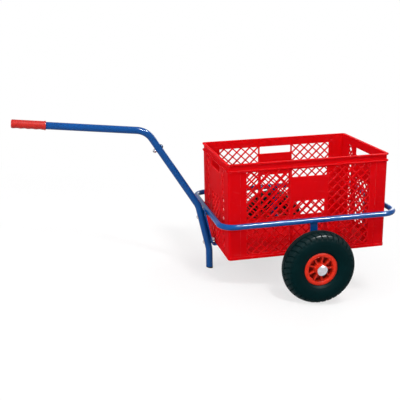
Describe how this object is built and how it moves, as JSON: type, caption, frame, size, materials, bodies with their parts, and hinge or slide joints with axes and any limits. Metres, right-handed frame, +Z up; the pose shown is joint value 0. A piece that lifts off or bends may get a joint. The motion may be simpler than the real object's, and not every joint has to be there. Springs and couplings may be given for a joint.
{
  "type": "hand cart",
  "caption": "Two-wheeled hand cart: a lift-out lattice crate in a blue tube cradle on an axle with air tyres, pulled by a bent drawbar with a moulded grip and a resting foot",
  "frame": {"origin": "on the floor, under the middle of the object's box, between the wheels and the foot", "axes": "+X points to the rear, away from the drawbar's grip; +Y points to the right-hand side of someone pulling; +Z points up from the floor. The cart is parked on its wheels and its foot, so its crate leans forward by the same angle as its frame."},
  "size_m": [1.3908, 0.6436, 0.5541],
  "materials": {
    "blue_coat": "smooth blue powder coat on steel tube and strip",
    "crate_plastic": "moulded red polyethylene, satin",
    "grip_plastic": "soft moulded red vinyl, satin",
    "rim_plastic": "moulded orange-red polypropylene, half gloss",
    "tyre_rubber": "black tyre rubber, dull",
    "tube_rubber": "thin black butyl rubber",
    "zinc": "bright zinc plate on steel",
    "bush_plastic": "natural nylon, waxy",
    "black_steel": "blackened steel",
    "black_plastic": "black moulded polyethylene",
    "valve_brass": "turned brass"
  },
  "bodies": {
    "frame": {"frame_ring": "blue_coat", "long_strap": "blue_coat", "cross_strap": "blue_coat", "axle_lugs": "blue_coat", "axle": "zinc", "axle_spacers": "zinc", "axle_washers": "zinc", "axle_caps": "zinc", "drawbar_tube": "blue_coat", "handle_tube": "blue_coat", "joint_spigot": "zinc", "joint_bolt": "black_steel", "joint_washer": "zinc", "joint_nut": "zinc", "drawbar_bolts": "zinc", "drawbar_washers": "zinc", "drawbar_nuts": "zinc", "handle_grip": "grip_plastic", "foot_cap": "black_plastic"},
    "crate": {"crate": "crate_plastic"},
    "wheel_left": {"tyre_left": "tyre_rubber", "inner_tube_left": "tube_rubber", "rim_outer_left": "rim_plastic", "rim_inner_left": "rim_plastic", "rim_screws_left": "zinc", "hub_bushes_left": "bush_plastic", "valve_stem_left": "valve_brass", "valve_cap_left": "black_plastic"},
    "wheel_right": {"tyre_right": "tyre_rubber", "inner_tube_right": "tube_rubber", "rim_outer_right": "rim_plastic", "rim_inner_right": "rim_plastic", "rim_screws_right": "zinc", "hub_bushes_right": "bush_plastic", "valve_stem_right": "valve_brass", "valve_cap_right": "black_plastic"}
  },
  "joints": [
    {"name": "wheel_left_spin", "type": "hinge", "parent": "frame", "child": "wheel_left", "pos_m": [0.40096, -0.2715, 0.133], "axis": [0, -1, 0], "continuous": true},
    {"name": "wheel_right_spin", "type": "hinge", "parent": "frame", "child": "wheel_right", "pos_m": [0.40096, 0.2715, 0.133], "axis": [0, -1, 0], "continuous": true},
    {"name": "crate_lift", "type": "slide", "parent": "frame", "child": "crate", "axis": [-0.1855, 0, 0.9826], "range_m": [0, 0.25]}
  ]
}
